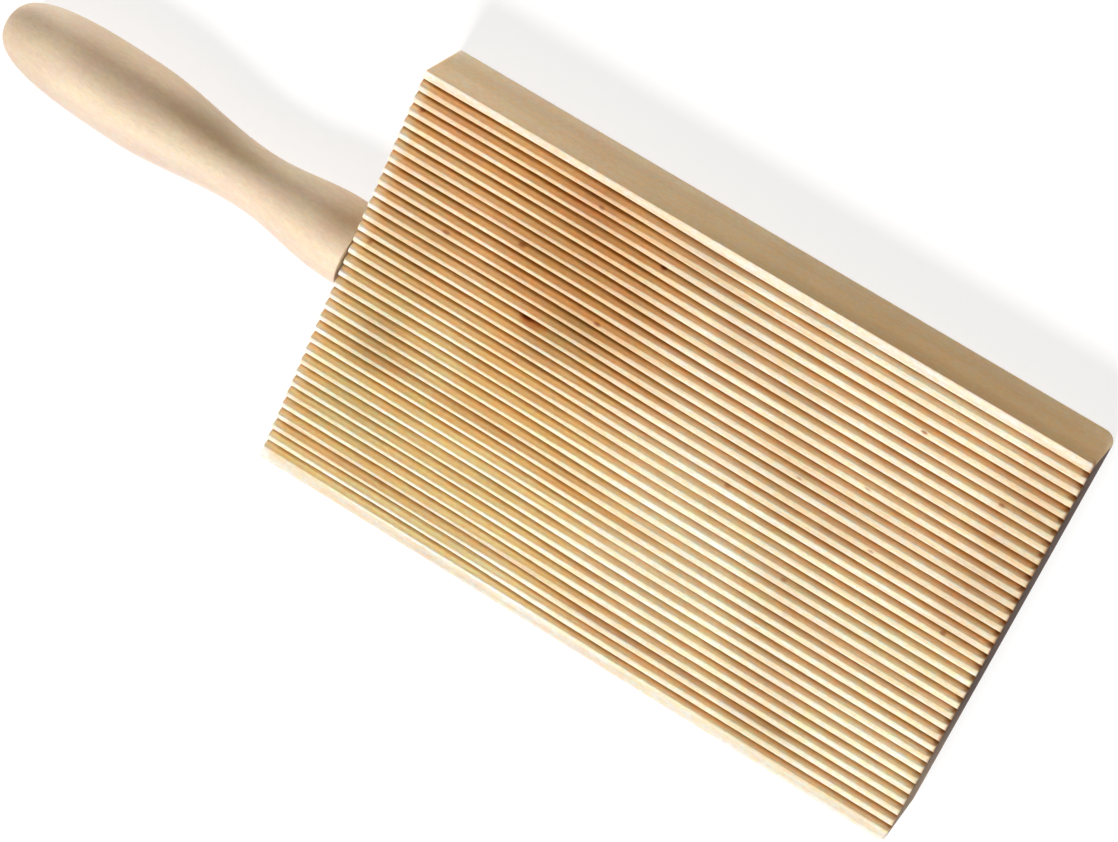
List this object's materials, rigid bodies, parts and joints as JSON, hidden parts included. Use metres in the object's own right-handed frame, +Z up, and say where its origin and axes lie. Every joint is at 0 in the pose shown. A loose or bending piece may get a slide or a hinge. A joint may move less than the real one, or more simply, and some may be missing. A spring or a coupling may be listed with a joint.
{
  "type": "gnocchi board",
  "caption": "Wooden board with lengthwise ridges for rolling gnocchi, and a turned handle doweled into one end.",
  "frame": {"origin": "middle of the board's flat underside, which the board rests on", "axes": "+X along the ridges from the handle's end to the free end, +Y across the ridges to the edge with the narrower margin, +Z up from the underside to the tops of the ridges"},
  "size_m": [0.3174, 0.126, 0.025],
  "materials": {
    "board_beech": "planed and moulded, unfinished",
    "handle_beech": "turned and sanded, unfinished",
    "dowel_beech": "fluted, glued"
  },
  "bodies": {
    "root": {"ridged_board": "board_beech", "turned_handle": "handle_beech", "fluted_dowel": "dowel_beech"}
  },
  "joints": []
}
